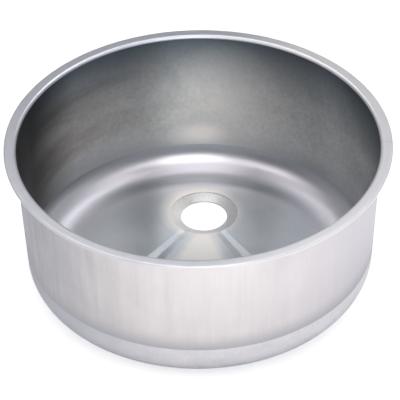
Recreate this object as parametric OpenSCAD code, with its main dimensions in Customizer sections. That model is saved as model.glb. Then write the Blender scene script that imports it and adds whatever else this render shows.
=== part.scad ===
// Round sink bowl in stainless sheet.
// A seamed wall band is welded between a rolled rim ring and a pressed base pan,
// and a conical waste seat is welded into the pan, towards the back.
// The axis of the bowl is Z and the front is -Y. Z = 0 is the lowest edge, under the waste hole.

/* [Sheet and welds] */
// Thickness of the sheet
sheet = 1.2; // [0.8:0.1:1.4]
// Height of the ring welds, and so the gap that they fill
weld_gap = 1; // [0.6:0.1:2]
// Width of the upright butt welds
seam_w = 1.2; // [0.8:0.1:3]
// How far the rim weld stands proud under the flange
weld_crown = 0.4; // [0.1:0.1:0.8]
// Width of the fillet weld under the waste seat
weld_leg = 1.5; // [0.8:0.1:2]
// Where the upright seams stand, turned from +X
seam_angle = 2; // [-20:1:20]

/* [Rim] */
// Outside diameter over the turned-down lip
rim_d = 360; // [330:1:460]
// Width of the rim, from the line of the wall out to the edge of the lip
rim_w = 10; // [6:0.5:25]
// Height of the lip, from the top of the rim to its lower edge
lip_drop = 3; // [2:0.1:5]
// Outer radius of the bend into the lip
lip_r = 1.6; // [1.5:0.1:1.9]
// Radius of the rolled inner edge
roll_r = 3; // [2:0.1:4]
// Depth of the collar's lower edge under the rim
collar_h = 9; // [6:0.5:20]

/* [Wall] */
// Slope of the wall, from upright
taper = 3.4; // [0:0.1:5]

/* [Base] */
// Inside depth, from the rim to the foot of the corner
bowl_depth = 150; // [120:1:200]
// Inside radius of the coved corner
cove_r = 30; // [24:1:34]
// Height of the pan's skirt, from the centre of the corner up to the joint with the wall
skirt_h = 9; // [2:0.5:60]
// Fall of the floor, from the foot of the corner to the outlet
floor_fall = 2; // [1:0.1:3]

/* [Outlet] */
// Distance of the outlet's centre from the line of the wall behind it
outlet_back = 83; // [82:1:110]
// Diameter of the waste hole
hole_d = 45; // [40:0.5:52]
// Diameter of the opening in the pan, which the seat fills
seat_d = 65; // [60:0.5:66]
// Slope of the conical seat
seat_slope = 17; // [5:1:30]
// Height over which the seat stands against the edge of the pan
seat_lap = 0.4; // [0.2:0.1:0.6]
// Width of the level ring that the pan keeps around the outlet
seat_land = 2; // [2:0.1:3]

/* [Creases] */
// Angle of each crease, from the straight line towards the front
crease_angle = 31.5; // [20:0.5:45]
// Slope of the flank on the side of the bowl
crease_outer = 9.5; // [7:0.5:14]
// Slope of the flank on the side of the wedge between the creases
crease_inner = 8.5; // [7:0.5:14]
// How far the valley runs level, from the centre of the outlet
crease_level = 120; // [80:1:140]
// Distance between the end of a crease and the foot of the corner
crease_stop = 4; // [3:1:12]

/* [Hidden] */

$fn = 96;

// More than any piece reaches, for cutting tools
far = 2 * rim_d;
// How far a tool stands clear of the face that it cuts
over = 0.5;
// Steps round each small bend and round the coved corner
bend_steps = 12;
cove_steps = 24;

rim_r = rim_d / 2;
hole_r = hole_d / 2;
seat_r = seat_d / 2;

// Outside diameter of the wall, where its slope meets the rim plane
body_d = rim_d - 2 * rim_w;
// Depth under the rim of the joint between the wall and the base pan
band_h = bowl_depth - cove_r - skirt_h;
// Distance of the outlet behind the axis of the bowl
outlet_y = body_d / 2 - outlet_back;

// Heights of the outlet, up from the lowest edge
seat_t = sheet / cos(seat_slope);
hole_z = seat_t;
seat_z = hole_z + (seat_r - hole_r) * tan(seat_slope);
fall_z = seat_z + sheet - seat_lap;
foot_z = fall_z + floor_fall;
rim_z = foot_z + bowl_depth;

// Radii of the wall at a depth under the rim
function wall_out(depth) = body_d / 2 - depth * tan(taper);
function wall_in(depth) = wall_out(depth) - sheet / cos(taper);

// Centres of the bends, as [radius, height]
lip_c = [rim_r - lip_r, rim_z - lip_r];
roll_c = [wall_in(roll_r) + roll_r / cos(taper), rim_z - roll_r];
foot_r = wall_in(bowl_depth - cove_r) - cove_r / cos(taper);
cove_c = [foot_r, foot_z + cove_r];

// Depths of the two ring welds
rim_weld_top = collar_h;
rim_weld_low = collar_h + weld_gap;
base_weld_top = band_h - weld_gap / 2;
base_weld_low = band_h + weld_gap / 2;

// A crease ends this far from the centre of the outlet, short of the foot of the corner
crease_end = outlet_y * cos(crease_angle)
  + sqrt(pow(foot_r, 2) - pow(outlet_y * sin(crease_angle), 2)) - crease_stop;

// Points along an arc, from angle a0 to angle a1, in a number of equal steps
function arc(c, r, a0, a1, steps) = [
  for (i = [0:steps])
    let (a = a0 + (a1 - a0) * i / steps) c + r * [cos(a), sin(a)]
];

// Straight wall in section, between two depths under the rim
module wall_section(top, low) {
  polygon([
    [wall_in(top), rim_z - top], [wall_out(top), rim_z - top],
    [wall_out(low), rim_z - low], [wall_in(low), rim_z - low]
  ]);
}

// Section of the rim: up the lip, over the flange, down the collar and back underneath
module rim_section() {
  lip_low = rim_z - lip_drop;
  collar_low = rim_z - collar_h;
  polygon(concat(
    [[rim_r, lip_low]],
    arc(lip_c, lip_r, 0, 90, bend_steps),
    arc(roll_c, roll_r, 90, 180 - taper, bend_steps),
    [[wall_in(collar_h), collar_low], [wall_out(collar_h), collar_low]],
    arc(roll_c, roll_r - sheet, 180 - taper, 90, bend_steps),
    arc(lip_c, lip_r - sheet, 90, 0, bend_steps),
    [[rim_r - sheet, lip_low]]
  ));
}

// Section of the pan: along the floor and up the corner inside, then back underneath
module pan_section() {
  skirt_top = rim_z - base_weld_low;
  polygon(concat(
    [[0, foot_z]],
    arc(cove_c, cove_r, -90, -taper, cove_steps),
    [[wall_in(base_weld_low), skirt_top], [wall_out(base_weld_low), skirt_top]],
    arc(cove_c, cove_r + sheet, -taper, -90, cove_steps),
    [[0, foot_z - sheet]]
  ));
}

// The upright slot that the butt welds fill
module seam_slot() {
  rotate([0, 0, seam_angle]) translate([0, -seam_w / 2, 0])
    cube([far, seam_w, far]);
}

// The floor's fall as a solid, from a level disc down to the ring around the outlet
module falling_floor(drop) {
  hull() {
    translate([0, 0, foot_z - drop]) cylinder(r = foot_r - 1, h = over);
    translate([0, outlet_y, fall_z - drop])
      cylinder(r = seat_r + seat_land, h = floor_fall + over);
  }
}

// One crease as a wedge: level along its valley, then rising to a point at its end
module crease_wedge(drop) {
  top = foot_z + over - drop;
  valley = seat_z - drop;
  out_w = (top - valley) / tan(crease_outer);
  in_w = (top - valley) / tan(crease_inner);
  polyhedron(
    points = [
      [hole_r, out_w, top], [hole_r, -in_w, top], [hole_r, 0, valley],
      [crease_level, out_w, top], [crease_level, -in_w, top], [crease_level, 0, valley],
      [crease_end, 0, top]
    ],
    faces = [
      [0, 1, 2], [0, 3, 6, 4, 1], [0, 2, 5, 3], [1, 4, 5, 2], [3, 5, 6], [4, 6, 5]
    ]
  );
}

module creases(drop) {
  for (side = [0, 1])
    mirror([side, 0, 0]) translate([0, outlet_y, 0]) rotate([0, 0, crease_angle - 90])
      crease_wedge(drop);
}

module rim_ring() {
  color("silver") difference() {
    rotate_extrude() rim_section();
    seam_slot();
  }
}

module rim_seam() {
  color("gainsboro") intersection() {
    rotate_extrude() rim_section();
    seam_slot();
  }
}

module rim_weld() {
  mid = (rim_weld_top + rim_weld_low) / 2;
  color("gainsboro") rotate_extrude() polygon([
    [wall_in(rim_weld_top), rim_z - rim_weld_top],
    [wall_out(rim_weld_top), rim_z - rim_weld_top],
    [wall_out(mid) + weld_crown, rim_z - mid],
    [wall_out(rim_weld_low), rim_z - rim_weld_low],
    [wall_in(rim_weld_low), rim_z - rim_weld_low]
  ]);
}

module wall_band() {
  color("lightgray") difference() {
    rotate_extrude() wall_section(rim_weld_low, base_weld_top);
    seam_slot();
  }
}

module wall_seam() {
  color("gainsboro") intersection() {
    rotate_extrude() wall_section(rim_weld_low, base_weld_top);
    seam_slot();
  }
}

module base_weld() {
  color("gainsboro") rotate_extrude() wall_section(base_weld_top, base_weld_low);
}

module base_pan() {
  color("silver") difference() {
    union() {
      rotate_extrude() pan_section();
      falling_floor(sheet);
      creases(sheet);
    }
    falling_floor(0);
    creases(0);
    translate([0, outlet_y, 0]) cylinder(r = seat_r, h = foot_z + over);
  }
}

module outlet_seat() {
  color("lightgray") translate([0, outlet_y, 0]) rotate_extrude() polygon([
    [hole_r, hole_z], [hole_r, 0], [seat_r, seat_z - seat_t], [seat_r, seat_z]
  ]);
}

module outlet_weld() {
  color("gainsboro") difference() {
    translate([0, outlet_y, 0]) rotate_extrude() polygon([
      [seat_r, fall_z - sheet], [seat_r, seat_z - seat_t], [seat_r + weld_leg, fall_z - sheet]
    ]);
    creases(sheet);
  }
}

rim_ring();
rim_seam();
rim_weld();
wall_band();
wall_seam();
base_weld();
base_pan();
outlet_seat();
outlet_weld();
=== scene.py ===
# Round stainless sink bowl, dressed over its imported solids. Metres, +Z up, front is -Y
import math

import bmesh
import bpy
from mathutils import Matrix, Vector


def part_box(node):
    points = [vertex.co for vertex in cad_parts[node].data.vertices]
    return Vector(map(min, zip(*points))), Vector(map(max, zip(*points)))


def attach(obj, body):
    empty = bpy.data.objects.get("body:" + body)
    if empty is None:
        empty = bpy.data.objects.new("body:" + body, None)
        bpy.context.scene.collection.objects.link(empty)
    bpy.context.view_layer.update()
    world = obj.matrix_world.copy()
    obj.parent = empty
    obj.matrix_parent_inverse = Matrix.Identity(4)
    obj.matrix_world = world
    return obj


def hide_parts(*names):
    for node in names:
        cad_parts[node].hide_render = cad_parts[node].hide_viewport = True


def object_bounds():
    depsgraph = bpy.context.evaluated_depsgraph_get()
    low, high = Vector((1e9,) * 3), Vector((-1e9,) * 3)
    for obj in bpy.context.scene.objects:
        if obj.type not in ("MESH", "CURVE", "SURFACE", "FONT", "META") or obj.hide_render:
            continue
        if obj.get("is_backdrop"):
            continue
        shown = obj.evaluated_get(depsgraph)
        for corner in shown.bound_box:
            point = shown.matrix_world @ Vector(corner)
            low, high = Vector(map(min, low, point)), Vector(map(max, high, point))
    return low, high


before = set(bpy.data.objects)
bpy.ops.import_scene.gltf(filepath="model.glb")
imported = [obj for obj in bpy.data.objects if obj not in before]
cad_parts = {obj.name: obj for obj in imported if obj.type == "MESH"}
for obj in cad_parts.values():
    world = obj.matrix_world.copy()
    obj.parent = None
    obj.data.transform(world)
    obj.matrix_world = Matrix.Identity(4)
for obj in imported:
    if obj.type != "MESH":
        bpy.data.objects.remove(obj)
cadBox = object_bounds()
mm = 0.001
print("frame loaded:", ", ".join(sorted(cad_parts)))

# Sizes that every piece shares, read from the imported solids
rimLow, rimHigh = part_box("rim_ring")
wallLow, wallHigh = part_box("wall_band")
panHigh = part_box("base_pan")[1]
seatLow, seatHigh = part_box("outlet_seat")
seamLow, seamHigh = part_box("rim_seam")
rimTop = rimHigh.z
rimRadius = rimHigh.x
outlet = (seatLow + seatHigh) / 2
wallSlope = (wallHigh.x - panHigh.x) / (wallHigh.z - panHigh.z)  # radius lost per metre of depth
wallAngle = math.degrees(math.atan(wallSlope))
wallCos = math.cos(math.radians(wallAngle))
seamAngle = math.atan2((seamLow.y + seamHigh.y) / 2, (seamLow.x + seamHigh.x) / 2)

sheet = {
    "thickness": 1.2 * mm,
    "edgeRound": 0.22 * mm,  # wear on the cut edges
    "columns": 384,          # steps round the bowl
    "bendGap": 0.3 * mm,     # a row this close to each bend holds its shading off the flat beside it
    "rowHeight": 5 * mm,     # longest strip of a flat
}


def wallOuter(z):
    return wallHigh.x - (wallHigh.z - z) * wallSlope


def wallInner(z):
    return wallOuter(z) - sheet["thickness"] / wallCos


def towards(azimuth, elevation):
    # unit vector to a place round the bowl, in degrees from the front and up from the floor
    turn, climb = math.radians(azimuth), math.radians(elevation)
    return Vector((math.sin(turn) * math.cos(climb), -math.cos(turn) * math.cos(climb), math.sin(climb)))


# Camera
viewpoint = {
    "azimuth": 2.942,    # degrees
    "elevation": 38.466,
    "roll": 0.921,
    "distance": 3.24,
    "target": (0.00087, 0.0, 0.08996),
    "lens": 311.56,      # millimetres, as Blender has them
    "sensor": 36.0,
}


def placeCamera(v):
    back = towards(v["azimuth"], v["elevation"])
    azimuth, roll = math.radians(v["azimuth"]), math.radians(v["roll"])
    level = Vector((math.cos(azimuth), math.sin(azimuth), 0.0))
    upright = back.cross(level)
    right = level * math.cos(roll) - upright * math.sin(roll)
    up = upright * math.cos(roll) + level * math.sin(roll)
    data = bpy.data.cameras.new("camera")
    data.lens = v["lens"]
    data.sensor_width = v["sensor"]
    camera = bpy.data.objects.new("camera", data)
    turn = Matrix((right, up, back)).transposed().to_4x4()
    camera.matrix_world = Matrix.Translation(Vector(v["target"]) + back * v["distance"]) @ turn
    bpy.context.scene.collection.objects.link(camera)
    bpy.context.scene.camera = camera


placeCamera(viewpoint)
print("camera placed")

# Node helpers for the finishes
noiseSpan = (0.30, 0.70)  # most of what a noise reaches
blendSpan = (0.36, 0.64)  # two noises blended reach less far


def emptyTree(owner, outputKind):
    owner.use_nodes = True
    tree = owner.node_tree
    tree.nodes.clear()
    return tree, tree.nodes.new(outputKind)


def newFinish(name):
    finish = bpy.data.materials.new(name)
    tree, output = emptyTree(finish, "ShaderNodeOutputMaterial")
    metal = tree.nodes.new("ShaderNodeBsdfPrincipled")
    metal.inputs["Metallic"].default_value = 1.0
    tree.links.new(metal.outputs["BSDF"], output.inputs["Surface"])
    return finish, tree, metal


def place(tree):
    return tree.nodes.new("ShaderNodeTexCoord").outputs["Object"]


def placeParts(tree):
    # where a point lies, as outputs named X, Y and Z
    parts = tree.nodes.new("ShaderNodeSeparateXYZ")
    tree.links.new(place(tree), parts.inputs["Vector"])
    return parts.outputs


def noise(tree, scale, stretch=(1, 1, 1), detail=4.0, rough=0.55, warp=0.0):
    mapping = tree.nodes.new("ShaderNodeMapping")
    mapping.inputs["Scale"].default_value = stretch
    texture = tree.nodes.new("ShaderNodeTexNoise")
    texture.inputs["Scale"].default_value = scale
    texture.inputs["Detail"].default_value = detail
    texture.inputs["Roughness"].default_value = rough
    texture.inputs["Distortion"].default_value = warp
    tree.links.new(place(tree), mapping.inputs["Vector"])
    tree.links.new(mapping.outputs["Vector"], texture.inputs["Vector"])
    return texture.outputs["Fac"]


def spread(tree, value, low, high, fromLow=noiseSpan[0], fromHigh=noiseSpan[1]):
    # carries a value from one span over to another, and never past its ends
    node = tree.nodes.new("ShaderNodeMapRange")
    node.inputs["From Min"].default_value = fromLow
    node.inputs["From Max"].default_value = fromHigh
    node.inputs["To Min"].default_value = low
    node.inputs["To Max"].default_value = high
    tree.links.new(value, node.inputs["Value"])
    return node.outputs["Result"]


def join(tree, operation, a, b=0.0):
    node = tree.nodes.new("ShaderNodeMath")
    node.operation = operation
    for socket, value in zip(node.inputs, (a, b)):
        if isinstance(value, (int, float)):
            socket.default_value = value
        else:
            tree.links.new(value, socket)
    return node.outputs["Value"]


def blend(tree, first, second, share=0.5):
    # share of the first, and the rest of the second
    return join(tree, "ADD", join(tree, "MULTIPLY", first, share), join(tree, "MULTIPLY", second, 1 - share))


def tint(tree, factor, first, second):
    # from first to second as the factor goes from 0 to 1; each is a colour or the output of a node
    node = tree.nodes.new("ShaderNodeMix")
    node.data_type = "RGBA"
    for socket, colour in ((node.inputs["A"], first), (node.inputs["B"], second)):
        if isinstance(colour, tuple):
            socket.default_value = (*colour, 1.0)
        else:
            tree.links.new(colour, socket)
    tree.links.new(factor, node.inputs["Factor"])
    return node.outputs["Result"]


def spot(tree, centre, flat, span):
    # a soft patch round a point, flat times as wide as it is high
    scaled = tree.nodes.new("ShaderNodeVectorMath")
    scaled.operation = "MULTIPLY"
    scaled.inputs[1].default_value = (1, 1, flat)
    tree.links.new(place(tree), scaled.inputs[0])
    away = tree.nodes.new("ShaderNodeVectorMath")
    away.operation = "DISTANCE"
    away.inputs[1].default_value = (centre[0], centre[1], centre[2] * flat)
    tree.links.new(scaled.outputs["Vector"], away.inputs[0])
    return spread(tree, away.outputs["Value"], 1, 0, *span)


def nearAxis(tree, span):
    # fades from 1 to 0 over a span of radii round the bowl's axis, inwards if the larger comes first
    return spot(tree, (0, 0, 0), 0, span)


def coat(tree, metal, colour, roughness, grain, height):
    # gives the metal its colour, its gloss and the height of its grain
    tree.links.new(colour, metal.inputs["Base Color"])
    tree.links.new(roughness, metal.inputs["Roughness"])
    bump = tree.nodes.new("ShaderNodeBump")
    bump.inputs["Distance"].default_value = height
    tree.links.new(grain, bump.inputs["Height"])
    tree.links.new(bump.outputs["Normal"], metal.inputs["Normal"])


def ringTangent(tree, metal, amount):
    # the gloss is drawn out round the bowl, or across it where amount is negative
    node = tree.nodes.new("ShaderNodeTangent")
    node.direction_type = "RADIAL"
    node.axis = "Z"
    tree.links.new(node.outputs["Tangent"], metal.inputs["Tangent"])
    metal.inputs["Anisotropic"].default_value = abs(amount)
    metal.inputs["Anisotropic Rotation"].default_value = 0.0 if amount >= 0 else 0.25  # a quarter turn


# Rim: satin, with painted shade at the back and a painted highlight on the right
rimSatinValues = {
    "light": (0.95, 0.94, 0.98),
    "dark": (0.87, 0.86, 0.92),
    "cloud": {"scale": 35, "detail": 3},
    "grain": {"scale": 900, "detail": 3},
    "grainHeight": 0.004 * mm,
    # painted shade at the back
    "back": (0.83, 0.84, 0.90),
    "paintedShadeBackSpan": (-60 * mm, 60 * mm),
    "paintedHighlightRight": (1.0, 0.98, 1.0),  # painted highlight on the right, where the satin is also coarser
    "paintedHighlightCoarseSpan": (20 * mm, 90 * mm),
    "roughness": (0.36, 0.44),
    "coarser": 0.055,
}


def rimSatin(name, v):
    finish, tree, metal = newFinish(name)
    at = placeParts(tree)
    grain, cloud = noise(tree, **v["grain"]), noise(tree, **v["cloud"])
    colour = tint(tree, spread(tree, cloud, 0, 1), v["dark"], v["light"])
    # painted shade towards the back
    colour = tint(tree, spread(tree, at["Y"], 0, 1, *v["paintedShadeBackSpan"]), colour, v["back"])
    # painted highlight on the right, and a coarser satin over the same span
    colour = tint(tree, spread(tree, at["X"], 0, 1, *v["paintedHighlightCoarseSpan"]), colour, v["paintedHighlightRight"])
    coarse = spread(tree, at["X"], 0, v["coarser"], *v["paintedHighlightCoarseSpan"])
    roughness = join(tree, "ADD", spread(tree, grain, *v["roughness"]), coarse)
    coat(tree, metal, colour, roughness, grain, v["grainHeight"])
    return finish


# The upright seams are dressed with the same satin and painted shade, their painted highlight a shade duller
seamSatinValues = {**rimSatinValues, "paintedHighlightRight": (0.89, 0.87, 0.90)}


# Inside of the wall: polished round and round, so its highlights stand upright
bowlSatinValues = {
    "light": (0.81, 0.825, 0.805),
    "dark": (0.54, 0.57, 0.57),
    "cloud": {"scale": 14, "stretch": (1, 1, 1.6), "detail": 5, "warp": 0.6},
    "speckle": {"scale": 240, "detail": 4, "rough": 0.7},
    "grain": {"scale": 900, "detail": 2},
    "grainHeight": 0.0008 * mm,
    "paintedBrownReflection": (0.27, 0.20, 0.165),   # painted reflection, dark and brownish, in streaks on the left
    "paintedBrownReflectionSpan": (-175 * mm, -25 * mm),
    "brownReflectionStreaks": {"scale": 9, "stretch": (0.5, 0.5, 3), "detail": 4, "warp": 0.3},
    "brownReflectionStreakSpan": (0.4, 0.6),
    "brownReflectionStreakLeast": 0.35,             # what is left of the brown between its streaks
    "top": (0.13, 0.17, 0.20),      # painted shade, a dark bluish band just under the rim
    "paintedShadeTopHeight": 62 * mm,
    "low": (0.55, 0.575, 0.59),     # painted shade, darker above the corner
    "paintedShadeLowSpan": (28 * mm, 55 * mm),
    "paintedShadeFarLeft": (0.045, 0.045, 0.04),  # painted shade, near black, at the far left
    "paintedShadeFarLeftSpan": (-160 * mm, -124 * mm),
    "paintedShadeFarLeftShare": 0.96,
    "paintedHighlightBack": (1.0, 0.97, 0.93),   # painted highlights, two soft bright patches at the middle of the back
    "paintedHighlightPatches": (
        {"centre": (-4 * mm, 162 * mm, 46 * mm), "flat": 2.0, "span": (8 * mm, 38 * mm), "share": 1.0},
        {"centre": (20 * mm, 165 * mm, 82 * mm), "flat": 1.0, "span": (8 * mm, 70 * mm), "share": 0.55},
    ),
    "roughness": (0.33, 0.39),
    "mottle": 0.03,                 # how far the gloss wanders with the clouds
    "drawn": -0.86,
}


def bowlSatin(v):
    finish, tree, metal = newFinish("bowlSatin")
    at = placeParts(tree)
    cloud, grain = noise(tree, **v["cloud"]), noise(tree, **v["grain"])
    mixed = blend(tree, cloud, noise(tree, **v["speckle"]))
    colour = tint(tree, spread(tree, mixed, 0, 1, *blendSpan), v["dark"], v["light"])
    # painted reflection: dark brown streaks on the left
    brownReflectionStreaks = spread(tree, noise(tree, **v["brownReflectionStreaks"]), v["brownReflectionStreakLeast"], 1, *v["brownReflectionStreakSpan"])
    left = join(tree, "MULTIPLY", spread(tree, at["X"], 1, 0, *v["paintedBrownReflectionSpan"]), brownReflectionStreaks)
    colour = tint(tree, left, colour, v["paintedBrownReflection"])
    # painted shade under the rim
    colour = tint(tree, spread(tree, at["Z"], 0, 1, rimTop - v["paintedShadeTopHeight"], rimTop), colour, v["top"])
    # painted shade above the corner
    colour = tint(tree, spread(tree, at["Z"], 1, 0, *v["paintedShadeLowSpan"]), colour, v["low"])
    # painted shade at the far left
    colour = tint(tree, spread(tree, at["X"], v["paintedShadeFarLeftShare"], 0, *v["paintedShadeFarLeftSpan"]), colour, v["paintedShadeFarLeft"])
    # painted highlights at the middle of the back
    paintedHighlightPatches = [
        join(tree, "MULTIPLY", spot(tree, p["centre"], p["flat"], p["span"]), p["share"])
        for p in v["paintedHighlightPatches"]
    ]
    colour = tint(tree, join(tree, "MAXIMUM", *paintedHighlightPatches), colour, v["paintedHighlightBack"])
    mottle = spread(tree, cloud, -v["mottle"], v["mottle"])
    roughness = join(tree, "ADD", mottle, spread(tree, grain, *v["roughness"]))
    coat(tree, metal, colour, roughness, grain, v["grainHeight"])
    ringTangent(tree, metal, v["drawn"])
    return finish


# Pan: satin, with a painted reflection round the outlet and between the creases, a painted sheen on the
# corner and painted shade on the corner
panSatinValues = {
    "light": (0.715, 0.75, 0.80),
    "dark": (0.58, 0.62, 0.67),
    "cloud": {"scale": 20, "detail": 4, "warp": 0.5},
    "grain": {"scale": 1100, "detail": 2},
    "grainHeight": 0.0002 * mm,
    "paintedSheenLilac": (0.77, 0.763, 0.825),  # painted sheen, a faint lighter lilac tint of the corner
    "paintedSheenLilacSpan": (134 * mm, 114 * mm),
    # painted reflection round the outlet and in a wedge between the creases
    "paintedReflectionPan": (0.95, 0.91, 0.88),
    "paintedReflectionSpan": (28 * mm, 43 * mm),
    "paintedReflectionShift": (-3 * mm, 3 * mm),
    "wedgeSlope": 0.37,             # the painted reflection's wedge widens by this for each step forward
    "wedgeShare": 0.8,
    "wedgeEdge": (-1 * mm, 8 * mm),
    "wedgeFade": (70 * mm, 122 * mm),
    "paintedShadeRing": (0.46, 0.49, 0.54),     # painted shade, a ring at the foot of the corner behind the outlet
    "paintedShadeRingSpan": (126 * mm, 134 * mm, 139 * mm, 146 * mm),
    "paintedShadeRingBehind": (80 * mm, 122 * mm),
    "shade": (0.51, 0.55, 0.59),    # painted shade at the top of the corner
    "shadeSpan": (18 * mm, 26 * mm),
    "paintedShadeCornerLeft": (0.33, 0.34, 0.33),   # painted shade, darker still at the left
    "paintedShadeCornerLeftSpan": (-145 * mm, -70 * mm),
    "roughness": (0.28, 0.33),
    "sideRough": 0.11,              # coarser at the two sides, which spreads the corner's highlight
    "sideSpan": (50 * mm, 115 * mm),
}


def panSatin(v):
    finish, tree, metal = newFinish("panSatin")
    at = placeParts(tree)
    cloud, grain = noise(tree, **v["cloud"]), noise(tree, **v["grain"])
    colour = tint(tree, spread(tree, blend(tree, cloud, grain), 0, 1, *blendSpan), v["dark"], v["light"])
    # painted sheen on the corner
    colour = tint(tree, nearAxis(tree, v["paintedSheenLilacSpan"]), colour, v["paintedSheenLilac"])

    # painted reflection: a halo round the outlet and a wedge between the creases
    shiftX, shiftY = v["paintedReflectionShift"]
    halo = spot(tree, (shiftX, outlet.y + shiftY, seatHigh.z), 1, v["paintedReflectionSpan"])
    ahead = join(tree, "SUBTRACT", outlet.y, at["Y"])
    side = join(tree, "ABSOLUTE", at["X"])
    within = join(tree, "SUBTRACT", join(tree, "MULTIPLY", ahead, v["wedgeSlope"]), side)
    across = spread(tree, within, 0, v["wedgeShare"], *v["wedgeEdge"])
    wedge = join(tree, "MULTIPLY", across, spread(tree, ahead, 1, 0, *v["wedgeFade"]))
    colour = tint(tree, join(tree, "MAXIMUM", halo, wedge), colour, v["paintedReflectionPan"])

    # painted shade in a ring behind the outlet
    start, full, fade, end = v["paintedShadeRingSpan"]
    ring = join(tree, "MULTIPLY", nearAxis(tree, (full, start)), nearAxis(tree, (fade, end)))
    behind = join(tree, "MULTIPLY", ring, spread(tree, at["Y"], 0, 1, *v["paintedShadeRingBehind"]))
    colour = tint(tree, behind, colour, v["paintedShadeRing"])

    # painted shade at the top of the corner
    high = spread(tree, at["Z"], 0, 1, *(seatHigh.z + h for h in v["shadeSpan"]))
    # painted shade, darker at the left
    highLeft = join(tree, "MULTIPLY", high, spread(tree, at["X"], 1, 0, *v["paintedShadeCornerLeftSpan"]))
    colour = tint(tree, high, colour, v["shade"])
    colour = tint(tree, highLeft, colour, v["paintedShadeCornerLeft"])

    coarse = spread(tree, side, 0, v["sideRough"], *v["sideSpan"])
    roughness = join(tree, "ADD", spread(tree, grain, *v["roughness"]), coarse)
    coat(tree, metal, colour, roughness, grain, v["grainHeight"])
    return finish


# Outside of the wall: brushed upright, with painted shade on the left, on the right and just above the weld
wallBrushValues = {
    "light": (0.98, 0.95, 0.94),
    "dark": (0.83, 0.80, 0.80),
    "along": 0.02,               # how little the brush marks change over the height
    "streaks": {"scale": 420, "detail": 4},
    "streakHeight": 0.006 * mm,
    "bands": {"scale": 90, "detail": 6, "rough": 0.7},
    "bandShare": 0.6,
    "cloud": {"scale": 22, "detail": 4, "warp": 0.4},
    "paintedShadeLeft": (0.43, 0.46, 0.51),  # painted shade on the left, broken into streaks
    "paintedShadeLeftSpan": (-170 * mm, -40 * mm),
    "paintedShadeLeftLeast": 0.5,
    # painted shade, lavender, on the right
    "right": (0.76, 0.74, 0.79),
    "paintedShadeRightSpan": (50 * mm, 165 * mm),
    # painted shade just above the weld
    "foot": (0.59, 0.60, 0.64),
    "footHeight": 20 * mm,
    "footFade": 1.6,             # above 1 it stays close to the weld
    "roughness": (0.36, 0.46),
    "drawn": 0.7,
}


def wallBrush(v):
    finish, tree, metal = newFinish("wallBrush")
    at = placeParts(tree)
    upright = (1, 1, v["along"])
    streaks = noise(tree, stretch=upright, **v["streaks"])
    bands = noise(tree, stretch=upright, **v["bands"])
    mixed = blend(tree, bands, noise(tree, **v["cloud"]), v["bandShare"])
    colour = tint(tree, spread(tree, mixed, 0, 1), v["dark"], v["light"])
    # painted shade on the left, in streaks
    streaky = spread(tree, mixed, 1, v["paintedShadeLeftLeast"])
    left = join(tree, "MULTIPLY", spread(tree, at["X"], 1, 0, *v["paintedShadeLeftSpan"]), streaky)
    colour = tint(tree, left, colour, v["paintedShadeLeft"])
    # painted shade on the right
    colour = tint(tree, spread(tree, at["X"], 0, 1, *v["paintedShadeRightSpan"]), colour, v["right"])
    # painted shade just above the weld
    foot = spread(tree, at["Z"], 1, 0, wallLow.z, wallLow.z + v["footHeight"])
    colour = tint(tree, join(tree, "POWER", foot, v["footFade"]), colour, v["foot"])
    coat(tree, metal, colour, spread(tree, streaks, *v["roughness"]), streaks, v["streakHeight"])
    ringTangent(tree, metal, v["drawn"])
    return finish


# Outside of the pan: dull mill finish, with painted shade, bluish towards the bottom and darker at the left
millFinishValues = {
    "light": (0.96, 0.95, 0.97),
    "dark": (0.81, 0.82, 0.86),
    "speckle": {"scale": 420, "detail": 4, "rough": 0.7},
    "speckleHeight": 0.03 * mm,
    "cloud": {"scale": 45, "detail": 3},
    # painted shade on the left
    "paintedShadeLeft": (0.67, 0.69, 0.74),
    "paintedShadeLeftSpan": (-150 * mm, -20 * mm),
    # painted shade, bluish, towards the bottom
    "low": (0.47, 0.52, 0.60),
    "paintedShadeLowSpan": (9 * mm, 29 * mm),
    "lowWander": 8 * mm,  # how far the clouds move that edge up and down
    "roughness": (0.46, 0.58),
}


def millFinish(v):
    finish, tree, metal = newFinish("millFinish")
    at = placeParts(tree)
    speckle, cloud = noise(tree, **v["speckle"]), noise(tree, **v["cloud"])
    mixed = blend(tree, speckle, cloud)
    colour = tint(tree, spread(tree, mixed, 0, 1, *blendSpan), v["dark"], v["light"])
    # painted shade on the left, then bluish towards the bottom
    colour = tint(tree, spread(tree, at["X"], 1, 0, *v["paintedShadeLeftSpan"]), colour, v["paintedShadeLeft"])
    height = join(tree, "ADD", at["Z"], join(tree, "MULTIPLY", cloud, v["lowWander"]))
    colour = tint(tree, spread(tree, height, 1, 0, *v["paintedShadeLowSpan"]), colour, v["low"])
    coat(tree, metal, colour, spread(tree, speckle, *v["roughness"]), speckle, v["speckleHeight"])
    return finish


# Waste seat: the finest polish, with painted shade on the right
seatPolishValues = {
    "light": (0.82, 0.815, 0.81),
    "dark": (0.74, 0.745, 0.76),
    "grain": {"scale": 800, "detail": 3},
    "grainHeight": 0.002 * mm,
    # painted shade on the right
    "shade": (0.66, 0.68, 0.70),
    "shadeSpan": (8 * mm, 28 * mm),
    "roughness": (0.26, 0.33),
}


def seatPolish(v):
    finish, tree, metal = newFinish("seatPolish")
    grain = noise(tree, **v["grain"])
    colour = tint(tree, spread(tree, grain, 0, 1), v["dark"], v["light"])
    # painted shade on the right
    right = spread(tree, placeParts(tree)["X"], 0, 1, *v["shadeSpan"])
    colour = tint(tree, right, colour, v["shade"])
    coat(tree, metal, colour, spread(tree, grain, *v["roughness"]), grain, v["grainHeight"])
    return finish


# Plain weld metal
weldBeadValues = {
    "light": (0.66, 0.65, 0.63),
    "dark": (0.55, 0.55, 0.56),
    "ripple": {"scale": 600, "detail": 3},
    "rippleHeight": 0.03 * mm,
    "roughness": (0.34, 0.48),
}


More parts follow.
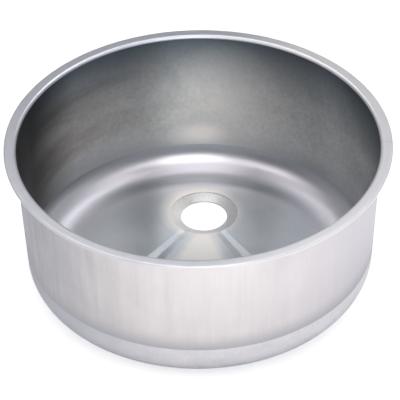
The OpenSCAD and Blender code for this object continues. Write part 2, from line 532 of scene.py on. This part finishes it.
def weldBead(v):
    finish, tree, metal = newFinish("weldBead")
    ripple = noise(tree, **v["ripple"])
    colour = tint(tree, spread(tree, ripple, 0, 1), v["dark"], v["light"])
    coat(tree, metal, colour, spread(tree, ripple, *v["roughness"]), ripple, v["rippleHeight"])
    return finish


finishes = {
    "rim": rimSatin("rimSatin", rimSatinValues),
    "seam": rimSatin("seamSatin", seamSatinValues),
    "bowl": bowlSatin(bowlSatinValues),
    "pan": panSatin(panSatinValues),
    "wall": wallBrush(wallBrushValues),
    "mill": millFinish(millFinishValues),
    "seat": seatPolish(seatPolishValues),
    "weld": weldBead(weldBeadValues),
}
print("finishes mixed:", len(finishes))

# Mesh helpers. A section is a list of (finish, points), drawn in order round a closed outline
samePoint = 0.0001 * mm  # points closer than this are one
sharpFrom = 40           # degrees between faces, from which an edge keeps its line


def arc(centre, radius, fromDeg, toDeg, steps):
    angles = [math.radians(fromDeg + (toDeg - fromDeg) * i / steps) for i in range(steps + 1)]
    return [(centre[0] + radius * math.cos(a), centre[1] + radius * math.sin(a)) for a in angles]


def supported(points):
    # cuts each long flat into strips, with a narrow one at each end
    gap = sheet["bendGap"]
    out = [points[0]]
    for (r0, z0), (r1, z1) in zip(points, points[1:]):
        length = math.hypot(r1 - r0, z1 - z0)
        cuts = []
        if length > 4 * gap:
            inner = max(1, math.ceil((length - 2 * gap) / sheet["rowHeight"]))
            cuts = [(gap + (length - 2 * gap) * i / inner) / length for i in range(inner + 1)]
        for t in cuts + [1.0]:
            out.append((r0 + (r1 - r0) * t, z0 + (z1 - z0) * t))
    return out


def flatten(section):
    # one list of points, each with the finish of the run that it was added by
    points, marks = [], []
    for finish, run in section:
        for p in supported(run):
            if not points or math.dist(p, points[-1]) >= samePoint:
                points.append(p)
                marks.append(finish)
    if math.dist(points[0], points[-1]) < samePoint:
        points.pop()
        marks.pop()
    return points, marks


def bridge(bm, loops, markAt, closed=True):
    # joins each loop of points to the next by a strip of faces, and lists each face's finish
    marks = []
    onward = loops[1:] + (loops[:1] if closed else [])
    for here, there in zip(loops, onward):
        for k in range(len(here)):
            n = (k + 1) % len(here)
            bm.faces.new((here[k], there[k], there[n], here[n]))
            marks.append(markAt(k))
    return marks


def dress(name, bm, marks, node, slot):
    bmesh.ops.recalc_face_normals(bm, faces=bm.faces)
    mesh = bpy.data.meshes.new(name)
    used = sorted(set(marks))
    for face, mark in zip(bm.faces, marks):
        face.material_index = used.index(mark)
        face.smooth = True
    for edge in bm.edges:
        if len(edge.link_faces) == 2 and edge.calc_face_angle(0.0) > math.radians(sharpFrom):
            edge.smooth = False
    bm.to_mesh(mesh)
    bm.free()
    for mark in used:
        mesh.materials.append(finishes[mark])
    piece = bpy.data.objects.new(name, mesh)
    bpy.context.scene.collection.objects.link(piece)
    even = piece.modifiers.new("evenShading", "WEIGHTED_NORMAL")
    even.keep_sharp = True
    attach(piece, "root")
    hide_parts(node)
    print("built", name)


def lathe(name, section, node, slot, centre=(0.0, 0.0), span=None, columns=sheet["columns"]):
    # turns a closed section round an upright axis, all the way or over a span of angles with capped ends
    points, marks = flatten(section)
    start, end = span or (0.0, 2 * math.pi)
    bm = bmesh.new()
    rings = []
    for i in range(columns + 1 if span else columns):
        angle = start + (end - start) * i / columns
        c, s = math.cos(angle), math.sin(angle)
        rings.append([bm.verts.new((centre[0] + r * c, centre[1] + r * s, z)) for r, z in points])
    # a strip has the finish of the point that it runs to
    faceMarks = bridge(bm, rings, lambda k: marks[(k + 1) % len(marks)], closed=not span)
    for cap in (rings[0], rings[-1]) if span else ():
        bm.faces.new(cap)
        faceMarks.append(marks[0])
    dress(name, bm, faceMarks, node, slot)


# Rim ring: a lip turned down, a flat flange, a rolled inner edge and a short collar
rimValues = {
    "lipDrop": 3.0 * mm,
    "lipBend": 1.6 * mm,
    "lipInnerSteps": 6,
    "rollBend": 3.0 * mm,
    "bendSteps": 14,
    "edgeSteps": 4,
}


def rimSection(v, finish="rim"):
    t, edge = sheet["thickness"], sheet["edgeRound"]
    lipCentre = (rimRadius - v["lipBend"], rimTop - v["lipBend"])
    rollZ = rimTop - v["rollBend"]
    rollCentre = (wallInner(rollZ) + v["rollBend"] / wallCos, rollZ)
    lipEnd = rimTop - v["lipDrop"]
    collarEnd = rimLow.z
    outerEdge = arc((rimRadius - edge, lipEnd + edge), edge, -90, 0, v["edgeSteps"])
    innerEdge = arc((rimRadius - t + edge, lipEnd + edge), edge, 180, 270, v["edgeSteps"])
    top = (
        outerEdge
        + arc(lipCentre, v["lipBend"], 0, 90, v["bendSteps"])
        + arc(rollCentre, v["rollBend"], 90, 180 - wallAngle, v["bendSteps"])
    )
    inside = [top[-1], (wallInner(collarEnd), collarEnd)]
    butt = [inside[-1], (wallOuter(collarEnd), collarEnd)]
    below = (
        [butt[-1]]
        + arc(rollCentre, v["rollBend"] - t, 180 - wallAngle, 90, v["bendSteps"])
        + arc(lipCentre, v["lipBend"] - t, 90, 0, v["lipInnerSteps"])
        + innerEdge
        + [outerEdge[0]]
    )
    return [(finish, top), ("bowl", inside), ("weld", butt), ("wall", below)]


seamValues = {"width": 1.2 * mm, "columns": 4}

seamHalf = seamValues["width"] / 2 / rimRadius  # half the angle that a seam takes up
ringSpan = (seamAngle + seamHalf, seamAngle + 2 * math.pi - seamHalf)
seamPlace = {"span": (seamAngle - seamHalf, seamAngle + seamHalf), "columns": seamValues["columns"]}

lathe("rimRing", rimSection(rimValues), "rim_ring", "satin_rim", span=ringSpan)
lathe("rimSeam", rimSection(rimValues, "seam"), "rim_seam", "weld_metal", **seamPlace)


# Wall band and its upright seam, then the two ring welds that join it to the rim and the pan
def wallSection(top, low, outer="wall"):
    return [
        (outer, [(wallOuter(low), low), (wallOuter(top), top)]),
        ("weld", [(wallOuter(top), top), (wallInner(top), top)]),
        ("bowl", [(wallInner(top), top), (wallInner(low), low)]),
        ("weld", [(wallInner(low), low), (wallOuter(low), low)]),
    ]


lathe("wallBand", wallSection(wallHigh.z, wallLow.z), "wall_band", "brushed_wall", span=ringSpan)
lathe("wallSeam", wallSection(wallHigh.z, wallLow.z, "seam"), "wall_seam", "weld_metal", **seamPlace)

rimWeldValues = {"crown": 0.4 * mm, "steps": 8}


def rimWeldSection(v):
    top, low = rimLow.z, wallHigh.z
    half = (top - low) / 2
    bulge = []
    for i in range(v["steps"] + 1):
        t = 2 * i / v["steps"] - 1
        z = (top + low) / 2 + t * half
        bulge.append((wallOuter(z) + v["crown"] * (1 - t * t), z))
    return [
        ("weld", bulge),
        ("weld", [bulge[-1], (wallInner(top), top)]),
        ("bowl", [(wallInner(top), top), (wallInner(low), low)]),
        ("weld", [(wallInner(low), low), bulge[0]]),
    ]


lathe("rimWeld", rimWeldSection(rimWeldValues), "rim_weld", "weld_metal")
lathe("baseWeld", wallSection(wallLow.z, panHigh.z, "weld"), "base_weld", "weld_metal")

# Outlet seat: a cone round the waste hole, with eased edges
seatValues = {
    "holeRadius": 22.5 * mm,
    "seatRadius": (seatHigh.x - seatLow.x) / 2,
    "slope": 17.0,
    "edgeRound": 0.3 * mm,
    "edgeSteps": 5,
    "columns": 192,
}


def seatSection(v):
    slope = math.radians(v["slope"])
    t = sheet["thickness"] / math.cos(slope)
    hole, rim = v["holeRadius"], v["seatRadius"]
    top = seatHigh.z
    holeTop = top - (rim - hole) * math.tan(slope)
    e = v["edgeRound"]
    upper = arc(
        (hole + e, holeTop - e + e * math.tan(slope / 2)), e, 180, 90 + v["slope"], v["edgeSteps"]
    ) + [(rim, top)]
    side = [(rim, top), (rim, top - t)]
    lower = [(rim, top - t), (hole + e, holeTop - t + e * math.tan(slope)), (hole, holeTop - t + e)]
    return [("seat", upper), ("seat", side), ("mill", lower), ("seat", [lower[-1], upper[0]])]


lathe(
    "outletSeat", seatSection(seatValues), "outlet_seat", "pressed_seat",
    centre=(outlet.x, outlet.y), columns=seatValues["columns"],
)

# Base pan: a floor that falls to the outlet, two pressed creases, a coved corner and a short skirt
panValues = {
    "coveRadius": 30 * mm,
    "coveSteps": 30,
    "satinSteps": 28,        # steps of the corner that keep the floor's satin finish
    "skirtRows": (0.1, 0.5, 0.9, 1.0),  # shares of the skirt's height
    "fall": 2.0 * mm,        # from the foot of the corner to the outlet
    "fallInset": 1.0 * mm,   # the fall starts this far inside the foot
    "landWidth": 2.0 * mm,   # level ring round the outlet
    "seatLap": 0.4 * mm,
    "floorEase": 0.6,        # 0 is a straight fall, 1 a fully blended one
    "floorRows": 56,
    "creaseAngle": 31.5,
    "creaseOuter": 9.5,
    "creaseInner": 8.5,
    "creaseLevel": 120 * mm,
    "creaseStop": 4 * mm,
    "creaseOver": 0.5 * mm,  # the valley would end this far above the foot
    "creaseSoft": 0.05 * mm,
    "valleySoft": 0.35 * mm,
    "valleySink": 0.4,       # how deep the rounded valley sits, as a share of valleySoft
    "creaseZone": 5.0,       # half angle of the fan of mesh columns that follows a crease
    "creaseBlend": 20.0,
    "zoneColumns": 14,
    "columnStep": 0.8,
    "edgeRows": (0.0, 0.03, 0.10, 0.22, 0.6, 1.1, 1.6, 2.0, 2.5, 3.2, 4.0),  # mm out from the opening
    "edgeDrop": (0.22, 0.12, 0.04),  # mm worn off the opening's edge, at the first rows
}

# Heights and radii that follow from those sizes
landZ = seatHigh.z + sheet["thickness"] - panValues["seatLap"]
footZ = landZ + panValues["fall"]
coveZ = footZ + panValues["coveRadius"]
footRadius = wallInner(coveZ) - panValues["coveRadius"] / wallCos
creaseDir = math.radians(panValues["creaseAngle"])


def reach(angle):
    # from the centre of the outlet to the foot of the corner, at an angle from straight forward
    return outlet.y * math.cos(angle) + math.sqrt(footRadius ** 2 - (outlet.y * math.sin(angle)) ** 2)


creaseEnd = reach(creaseDir) - panValues["creaseStop"]


def fallAt(x, y, v):
    # share of the fall, 0 at the outlet and 1 at the foot of the corner
    high = footRadius - v["fallInset"]
    span = high - seatValues["seatRadius"] - v["landWidth"]
    a = outlet.y ** 2 - span ** 2
    b = 2 * high * span - 2 * outlet.y * y
    c = x * x + y * y - high ** 2
    part = (-b + math.sqrt(max(0.0, b * b - 4 * a * c))) / (2 * a)
    share = min(1.0, max(0.0, 1 - part))
    eased = share * share * (3 - 2 * share)
    return share + v["floorEase"] * (eased - share)


def creaseSlope(side, v):
    return math.tan(math.radians(v["creaseOuter"] if side > 0 else v["creaseInner"]))


def softLower(first, second, soft):
    # the lower of two heights, with the line where they cross rounded off
    gap = second - first
    return first + 0.5 * (gap - math.hypot(gap, soft)) + 0.5 * soft * math.exp(-(gap / soft) ** 2 / 4)


def floorZ(x, y, v):
    z = landZ + v["fall"] * fallAt(x, y, v)
    ahead = outlet.y - y
    along = abs(x) * math.sin(creaseDir) + ahead * math.cos(creaseDir)
    across = abs(x) * math.cos(creaseDir) - ahead * math.sin(creaseDir)
    if along <= 0:
        return z
    rise = max(0.0, along - v["creaseLevel"]) / (creaseEnd - v["creaseLevel"])
    valley = seatHigh.z + rise * (footZ + v["creaseOver"] - seatHigh.z)
    away = math.hypot(across, v["valleySoft"]) - v["valleySoft"] * v["valleySink"]
    return softLower(z, valley + creaseSlope(across, v) * away, v["creaseSoft"])


def fan(angle, distance, v):
    # turns a mesh column near a crease so that it follows the edge of the flank
    delta = math.degrees(angle - creaseDir)
    if abs(delta) >= v["creaseBlend"]:
        return angle
    zone = v["creaseZone"]
    along = distance * math.cos(math.radians(delta))
    x, y = distance * math.sin(angle), outlet.y - distance * math.cos(angle)
    width = (landZ + v["fall"] * fallAt(x, y, v) - seatHigh.z) / creaseSlope(delta, v)
    if abs(delta) <= zone:
        across = width * abs(delta) / zone
    else:
        shift = width - along * math.tan(math.radians(zone))
        share = (v["creaseBlend"] - abs(delta)) / (v["creaseBlend"] - zone)
        across = along * math.tan(math.radians(abs(delta))) + shift * share
    return creaseDir + math.copysign(math.atan2(across, along), delta)


def columnAngles(v):
    # half a turn of mesh columns, then mirrored: close over the crease,
    # and elsewhere even along the foot of the corner
    def turnAt(angle):
        length = reach(angle)
        return math.atan2(length * math.sin(angle), length * math.cos(angle) - outlet.y)

    def angleAt(turn):
        return math.atan2(footRadius * math.sin(turn), footRadius * math.cos(turn) + outlet.y)

    zoneStart = creaseDir - math.radians(v["creaseZone"])
    zoneEnd = creaseDir + math.radians(v["creaseZone"])
    step = math.radians(v["columnStep"])
    half = []
    for start, end, count in (
        (0.0, turnAt(zoneStart), 0),
        (zoneStart, zoneEnd, 2 * v["zoneColumns"]),
        (turnAt(zoneEnd), math.pi, 0),
    ):
        steps = count or math.ceil((end - start) / step)
        for i in range(steps):
            at = start + (end - start) * i / steps
            half.append(at if count else angleAt(at))
    return half + [math.pi] + [-a for a in reversed(half[1:])]


def panColumn(signed, v):
    # one strip of the pan, from the edge of its opening out to the top of the skirt, above and below
    t = sheet["thickness"]
    angle, side = abs(signed), math.copysign(1, signed)
    end = fan(angle, reach(angle), v)
    distances = [seatValues["seatRadius"] + n * mm for n in v["edgeRows"]]
    rest = reach(end) - distances[-1]
    distances += [distances[-1] + rest * (k + 1) / v["floorRows"] for k in range(v["floorRows"])]
    upper, lower = [], []
    for k, distance in enumerate(distances):
        turned = end if k == len(distances) - 1 else fan(angle, distance, v)
        x, y = side * distance * math.sin(turned), outlet.y - distance * math.cos(turned)
        z = floorZ(x, y, v)
        drop = v["edgeDrop"][k] * mm if k < len(v["edgeDrop"]) else 0.0
        upper.append((x, y, z - drop))
        lower.append((x, y, z - t))
    turn = math.atan2(x, -y)
    for run, radius, wall in ((upper, v["coveRadius"], wallInner), (lower, v["coveRadius"] + t, wallOuter)):
        profile = arc((footRadius, coveZ), radius, -90, -wallAngle, v["coveSteps"])[1:]
        start = profile[-1][1]
        for share in v["skirtRows"]:
            z = start + (panHigh.z - start) * share
            profile.append((wall(z), z))
        run += [(r * math.sin(turn), -r * math.cos(turn), z) for r, z in profile]
    return upper, lower


def buildPan(v):
    bm = bmesh.new()
    loops = []
    for angle in columnAngles(v):
        upper, lower = panColumn(angle, v)
        loops.append([bm.verts.new(p) for p in upper + lower[::-1]])
    satinRows = len(v["edgeRows"]) + v["floorRows"] - 1 + v["satinSteps"]
    insideRows, lastRow = len(upper) - 1, len(loops[0]) - 1

    def markAt(k):
        if k < satinRows or k == lastRow:
            return "pan"
        return "bowl" if k < insideRows else "mill"

    dress("basePan", bm, bridge(bm, loops, markAt), "base_pan", "mill_base")


buildPan(panValues)

# Fillet weld under the seat, thinner where it crosses the creases
outletWeldValues = {
    "leg": 1.5 * mm,
    "thinnest": 0.2,
    "bow": 1.3,        # 1 is a straight face, more is a hollow one
    "steps": 6,
    "topRows": (0.67, 0.33, 0.0),
    "columns": 288,
}


def buildOutletWeld(v):
    t = sheet["thickness"]
    inner = seatValues["seatRadius"]
    low = seatLow.z + (inner - seatValues["holeRadius"]) * math.tan(math.radians(seatValues["slope"]))
    full = landZ - t - low

    def under(angle, radius):
        return floorZ(radius * math.sin(angle), outlet.y - radius * math.cos(angle), panValues) - t

    bm = bmesh.new()
    rings = []
    for i in range(v["columns"]):
        angle = 2 * math.pi * i / v["columns"]
        leg = v["leg"] * max(v["thinnest"], (under(angle, inner) - low) / full)
        section = [(inner, low)]
        for k in range(1, v["steps"] + 1):
            part = k / v["steps"]
            radius = inner + leg * part
            section.append((radius, low + (under(angle, inner + leg) - low) * part ** v["bow"]))
        section += [(inner + leg * part, under(angle, inner + leg * part)) for part in v["topRows"]]
        rings.append([
            bm.verts.new((r * math.sin(angle), outlet.y - r * math.cos(angle), z)) for r, z in section
        ])
    dress("outletWeld", bm, bridge(bm, rings, lambda k: "weld"), "outlet_weld", "weld_metal")


buildOutletWeld(outletWeldValues)

# Stage, light and world
floorValues = {
    "size": 6.0,
    "squares": 8,
    "colour": (0.92, 0.92, 0.93),
    "seen": 0.6,                 # glow for the camera, which makes the sheet white
    "mirrored": 0.26,            # glow that the metal sees, up towards the right
    "mirrorSide": (-0.35, 0.0),
    "mirrorFade": (0.17, 0.25),  # radii between which that glow comes up, clear of the bowl's shade
}


def buildFloor(v):
    finish = bpy.data.materials.new("paleFloor")
    tree, output = emptyTree(finish, "ShaderNodeOutputMaterial")
    card = tree.nodes.new("ShaderNodeBsdfDiffuse")
    card.inputs["Color"].default_value = (*v["colour"], 1.0)
    radius = tree.nodes.new("ShaderNodeVectorMath")
    radius.operation = "LENGTH"
    tree.links.new(place(tree), radius.inputs[0])
    clear = spread(tree, radius.outputs["Value"], 0, 1, *v["mirrorFade"])
    right = spread(tree, placeParts(tree)["X"], 0, 1, *v["mirrorSide"])
    path = tree.nodes.new("ShaderNodeLightPath")
    seen = join(tree, "MULTIPLY", path.outputs["Is Camera Ray"], v["seen"])
    glossy = join(tree, "MULTIPLY", path.outputs["Is Glossy Ray"], join(tree, "MULTIPLY", clear, right))
    glow = tree.nodes.new("ShaderNodeEmission")
    strength = join(tree, "ADD", seen, join(tree, "MULTIPLY", glossy, v["mirrored"]))
    tree.links.new(strength, glow.inputs["Strength"])
    both = tree.nodes.new("ShaderNodeAddShader")
    tree.links.new(card.outputs["BSDF"], both.inputs[0])
    tree.links.new(glow.outputs["Emission"], both.inputs[1])
    tree.links.new(both.outputs["Shader"], output.inputs["Surface"])
    bm = bmesh.new()
    bmesh.ops.create_grid(bm, x_segments=v["squares"], y_segments=v["squares"], size=v["size"] / 2)
    mesh = bpy.data.meshes.new("floor")
    bm.to_mesh(mesh)
    bm.free()
    mesh.materials.append(finish)
    floor = bpy.data.objects.new("floor", mesh)
    floor.location.z = cadBox[0].z
    bpy.context.scene.collection.objects.link(floor)
    floor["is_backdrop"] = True


buildFloor(floorValues)

# Soft boxes round the bowl, each by its place in degrees, its size in metres and its radiance
lampDistance = 2.6
softWhite = (1.0, 0.97, 0.95)
warmWhite = (1.0, 0.962, 0.975)
coolWhite = (0.96, 0.98, 1.0)

lampValues = {
    "lowFront": {"azimuth": 10, "elevation": 18, "size": (1.8, 0.7), "radiance": 0.7, "colour": coolWhite},
    "key": {"azimuth": 8, "elevation": 39, "size": (1.7, 1.2), "radiance": 2.2, "colour": softWhite},
    "keySide": {"azimuth": -42, "elevation": 40, "size": (1.7, 0.9), "radiance": 1.1, "colour": warmWhite},
    "highFront": {"azimuth": 0, "elevation": 64, "size": (1.9, 1.0), "radiance": 0.95, "colour": warmWhite},
    "top": {"azimuth": 0, "elevation": 86, "size": (1.1, 1.2), "radiance": 1.15, "colour": warmWhite},
    "highBack": {"azimuth": 188, "elevation": 64, "size": (1.3, 0.9), "radiance": 2.4, "colour": coolWhite},
    "backRight": {"azimuth": 134, "elevation": 51, "size": (1.3, 0.8), "radiance": 2.6, "colour": coolWhite},
    "backLeft": {"azimuth": 226, "elevation": 51, "size": (1.3, 0.8), "radiance": 1.4, "colour": coolWhite},
    "lowRight": {"azimuth": 62, "elevation": 37, "size": (2.1, 0.6), "radiance": 1.3, "colour": warmWhite},
    "lowLeft": {"azimuth": 288, "elevation": 37, "size": (1.3, 0.6), "radiance": 1.1, "colour": warmWhite},
    "highRight": {"azimuth": 88, "elevation": 57, "size": (1.4, 1.0), "radiance": 1.15, "colour": warmWhite},
    "highLeft": {"azimuth": 264, "elevation": 56, "size": (1.4, 1.0), "radiance": 0.8, "colour": warmWhite},
}


def hangLamp(name, v):
    away = towards(v["azimuth"], v["elevation"])
    data = bpy.data.lights.new(name, "AREA")
    data.shape = "RECTANGLE"
    data.size, data.size_y = v["size"]
    data.energy = v["radiance"] * math.pi * data.size * data.size_y
    data.color = v["colour"]
    lamp = bpy.data.objects.new(name, data)
    lamp.location = away * lampDistance
    lamp.rotation_mode = "QUATERNION"
    lamp.rotation_quaternion = (-away).to_track_quat("-Z", "Y")
    bpy.context.scene.collection.objects.link(lamp)


for lampName, lampSetting in lampValues.items():
    hangLamp(lampName, lampSetting)

worldValues = {
    "colour": (0.95, 0.97, 1.0),
    "strength": 0.05,
    "seen": (1.0, 1.0, 1.0),      # what the camera sees past the floor
    "horizon": 0.41,              # the white room low down, as the metal sees it
    "horizonSpan": (0.50, 0.22),  # sines of the elevations over which that fades in
}


def buildWorld(v):
    world = bpy.data.worlds.new("studio")
    tree, output = emptyTree(world, "ShaderNodeOutputWorld")
    room = tree.nodes.new("ShaderNodeBackground")
    room.inputs["Color"].default_value = (*v["colour"], 1.0)
    white = tree.nodes.new("ShaderNodeBackground")
    white.inputs["Color"].default_value = (*v["seen"], 1.0)
    path = tree.nodes.new("ShaderNodeLightPath")
    sky = tree.nodes.new("ShaderNodeSeparateXYZ")
    tree.links.new(tree.nodes.new("ShaderNodeTexCoord").outputs["Generated"], sky.inputs["Vector"])
    horizon = spread(tree, sky.outputs["Z"], 0, v["horizon"], *v["horizonSpan"])
    mirrored = join(tree, "MULTIPLY", horizon, path.outputs["Is Glossy Ray"])
    tree.links.new(join(tree, "ADD", mirrored, v["strength"]), room.inputs["Strength"])
    mixed = tree.nodes.new("ShaderNodeMixShader")
    tree.links.new(path.outputs["Is Camera Ray"], mixed.inputs["Fac"])
    tree.links.new(room.outputs["Background"], mixed.inputs[1])
    tree.links.new(white.outputs["Background"], mixed.inputs[2])
    tree.links.new(mixed.outputs["Shader"], output.inputs["Surface"])
    bpy.context.scene.world = world


buildWorld(worldValues)
bpy.context.scene.view_settings.view_transform = "Standard"
print("stage lit")

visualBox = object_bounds()
boxes = {"cad": cadBox, "visual": visualBox}
{k: [list(corner) for corner in v] for k, v in boxes.items()}
